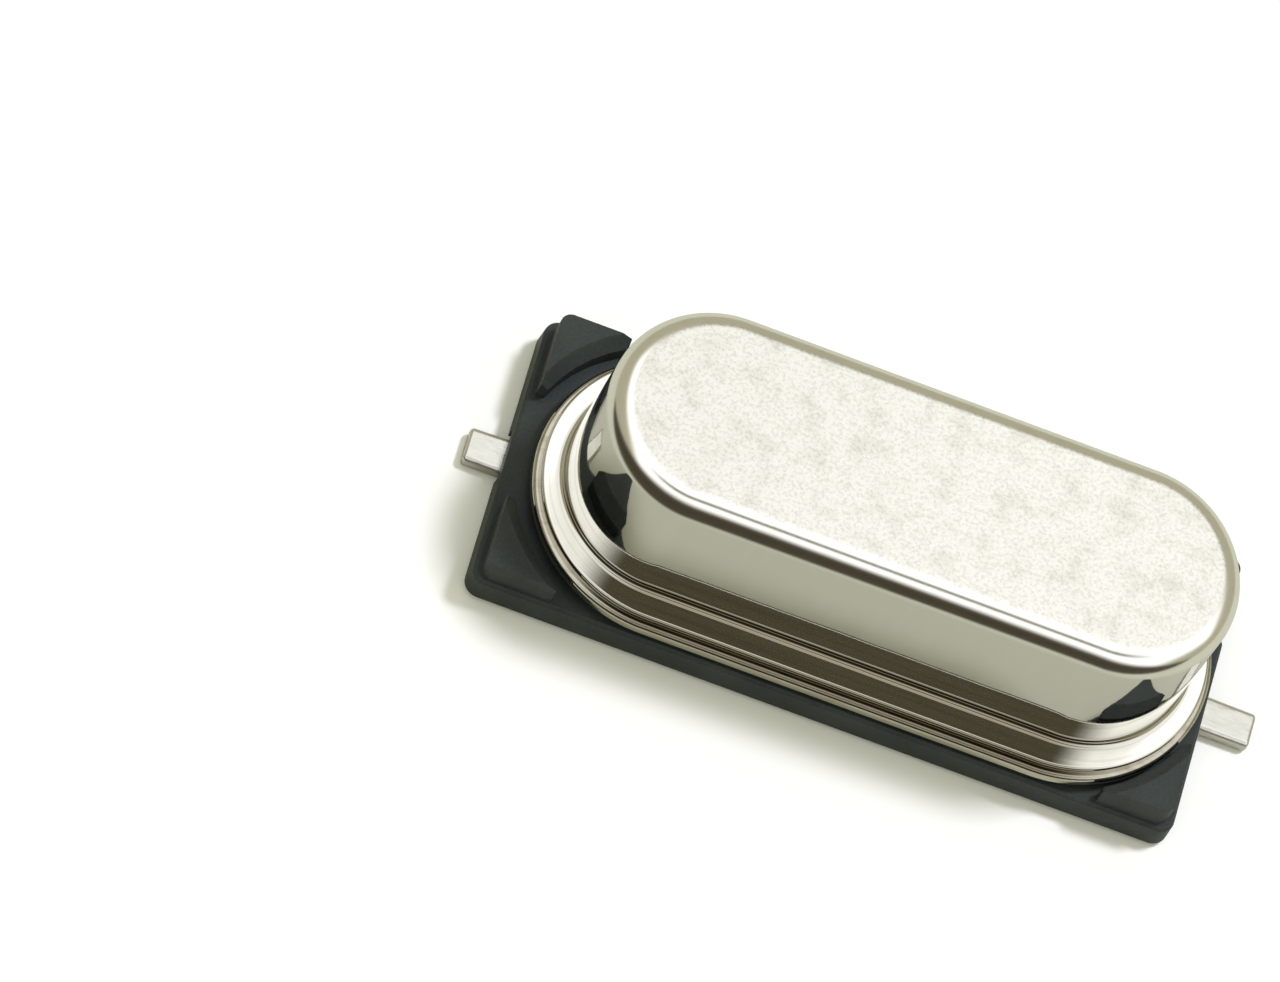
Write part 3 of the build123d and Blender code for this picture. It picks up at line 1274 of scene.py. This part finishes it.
@dataclass(frozen=True)
class Studio:
    """White floor, a large soft lamp high up, and the surroundings that the metal mirrors.

    The spans tell where sky, screen and patch come in. The sky's back and the screen's front are
    angles that lean from straight up towards the camera. The patch's left and right are angles round
    the part, from the camera. The sky's sides and the patch's top and bottom are coordinates of a
    direction. The floor's mirror image is dark from a distance in front of the part.
    """

    view: Viewpoint
    floor_size: float = 3000.0
    floor_colour: Colour = (0.90, 0.90, 0.87, 1.0)
    floor_lift: float = 0.06
    floor_mirrored: Colour = (0.52, 0.52, 0.44, 1.0)
    floor_dark: Colour = (0.050, 0.042, 0.028, 1.0)
    floor_dark_from: Span = (4.5, 8.0)
    lamp_azimuth: float = 130.0
    lamp_elevation: float = 65.0
    lamp_distance: float = 300.0
    lamp_size: float = 44.0
    lamp_power: float = 0.62
    lamp_colour: Point = (0.86, 0.86, 1.0)
    fill: Colour = (0.68, 0.68, 0.55, 1.0)
    haze: Colour = (0.44, 0.415, 0.30, 1.0)
    sky: Colour = (1.30, 1.30, 1.27, 1.0)
    sky_back: Span = (-42.0, -34.0)
    sky_left: Span = (-0.70, -0.50)
    sky_right: Span = (0.95, 0.80)
    screen: Colour = (0.056, 0.043, 0.027, 1.0)
    screen_front: Span = (44.0, 72.0)
    patch: Colour = (0.095, 0.084, 0.054, 1.0)
    patch_bottom: Span = (0.818, 0.848)
    patch_top: Span = (0.932, 0.912)
    patch_left: Span = (-48.0, -3.0)
    patch_right: Span = (93.0, 45.0)

    def build(self) -> None:
        """Makes floor, lamp and surroundings."""
        self._floor()
        self._lamp()
        self._surroundings()
        bpy.context.scene.view_settings.view_transform = "Standard"

    def _floor(self) -> None:
        """Lays the floor under the part, white to the camera but with the part's shadow."""
        bpy.ops.object.select_all(action="DESELECT")
        bpy.ops.mesh.primitive_plane_add(size=self.floor_size * MM, location=(0, 0, 0))
        floor = bpy.context.object
        floor.name = "floor"
        material, graph = new_material("floor")
        seen = graph.ray(Ray.CAMERA) + graph.ray(Ray.TRANSMISSION)
        in_front = graph.reach(graph.place(), -self.view.ahead())
        shaded = graph.step(in_front, *self.floor_dark_from)
        mirrored = graph.blend(shaded, self.floor_mirrored, self.floor_dark)
        colour = graph.blend(graph.ray(Ray.GLOSSY), self.floor_colour, mirrored)
        plain = graph.add("ShaderNodeBsdfDiffuse", inputs={"Color": colour})
        lift = graph.add("ShaderNodeEmission", inputs={"Strength": seen * self.floor_lift})
        graph.finish(graph.add("ShaderNodeAddShader", inputs={0: plain, 1: lift}))
        floor.data.materials.append(material)

    def _lamp(self) -> None:
        """Hangs the soft lamp."""
        back = direction(self.lamp_azimuth, self.lamp_elevation)
        light = bpy.data.lights.new("soft_lamp", "AREA")
        light.size = self.lamp_size * MM
        light.energy = self.lamp_power
        light.color = self.lamp_colour
        lamp = bpy.data.objects.new("soft_lamp", light)
        bpy.context.scene.collection.objects.link(lamp)
        lamp.location = back * self.lamp_distance * MM
        lamp.rotation_mode = "QUATERNION"
        lamp.rotation_quaternion = (-back).to_track_quat("-Z", "Y")
        lamp.visible_glossy = False

    def _mirrored(self, graph: Graph) -> Wire:
        """Paints what the metal mirrors: sky, haze round it, a dark screen in front and a dark patch.

        Args:
            graph: graph of the world.

        Returns:
            The colour in each direction.
        """
        way = graph.add("ShaderNodeTexCoord", output="Generated")
        up = graph.along(way, Axis.Z)
        side = graph.reach(way, self.view.across())
        near = 0 - graph.reach(way, self.view.ahead())
        leaning = graph.angle(near, up)
        turned = graph.angle(side, near)
        back = graph.step(leaning, *self.sky_back)
        between = graph.step(side, *self.sky_left) * graph.step(side, *self.sky_right)
        open_sky = graph.blend(back * between, self.haze, self.sky)
        screened = graph.blend(graph.step(leaning, *self.screen_front), open_sky, self.screen)
        level = graph.step(up, *self.patch_bottom) * graph.step(up, *self.patch_top)
        round_part = graph.step(turned, *self.patch_left) * graph.step(turned, *self.patch_right)
        return graph.blend(level * round_part, screened, self.patch)

    def _surroundings(self) -> None:
        """Paints the world: even light, white to the camera, and what the metal mirrors."""
        world = bpy.data.worlds.new("studio")
        bpy.context.scene.world = world
        world.use_nodes = True
        graph = Graph(world.node_tree)
        background = "ShaderNodeBackground"
        even = graph.add(background, inputs={"Color": self.fill})
        mirrored = graph.add(background, inputs={"Color": self._mirrored(graph)})
        white = graph.add(background, inputs={"Color": WHITE})
        lit = graph.add("ShaderNodeMixShader", inputs={0: graph.ray(Ray.GLOSSY), 1: even, 2: mirrored})
        final = graph.add("ShaderNodeMixShader", inputs={0: graph.ray(Ray.CAMERA), 1: lit, 2: white})
        graph.finish(final, "ShaderNodeOutputWorld")


def main() -> None:
    """Builds each sub-assembly, then the camera and the studio."""
    logging.basicConfig(level=logging.INFO, format="%(name)s: %(message)s")
    view = Viewpoint()
    for assembly in (MetalCan(), Insulator(), Terminals(), Resonator()):
        assembly.build()
        log.info("built %s", type(assembly).__name__)
    view.build()
    Studio(view).build()


if __name__ == "__main__":
    main()
